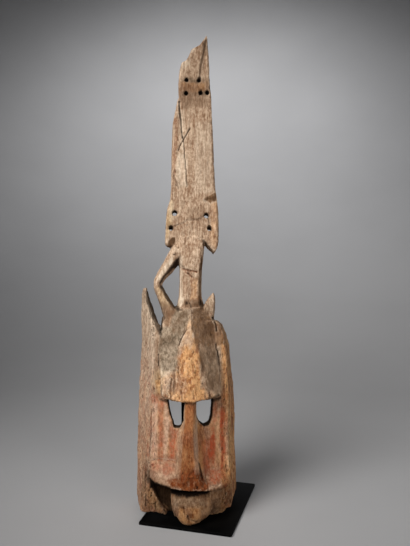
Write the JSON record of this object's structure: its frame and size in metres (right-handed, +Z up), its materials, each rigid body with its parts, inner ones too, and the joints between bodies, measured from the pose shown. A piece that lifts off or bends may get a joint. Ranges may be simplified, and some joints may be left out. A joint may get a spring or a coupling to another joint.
{
  "type": "dogon mask",
  "caption": "Carved wooden face mask, a box open behind with eye slots, long nose and broken plank crest, held up on a flat steel base plate with a post.",
  "frame": {"origin": "on the underside of the base plate, below the middle plane of the mask and the depth of the post", "axes": "+Z up along the plank crest, -Y the way the face looks, +X to the viewer's right"},
  "size_m": [0.2608, 0.2828, 0.944],
  "materials": {
    "weathered_wood": "dry grey-tan weathered wood with worn earth-red and chalk-white stripes, bare orange wood where it is broken or worm-eaten",
    "black_steel": "satin black"
  },
  "bodies": {
    "root": {"mask": "weathered_wood", "stand_plate": "black_steel", "stand_post": "black_steel"}
  },
  "joints": []
}
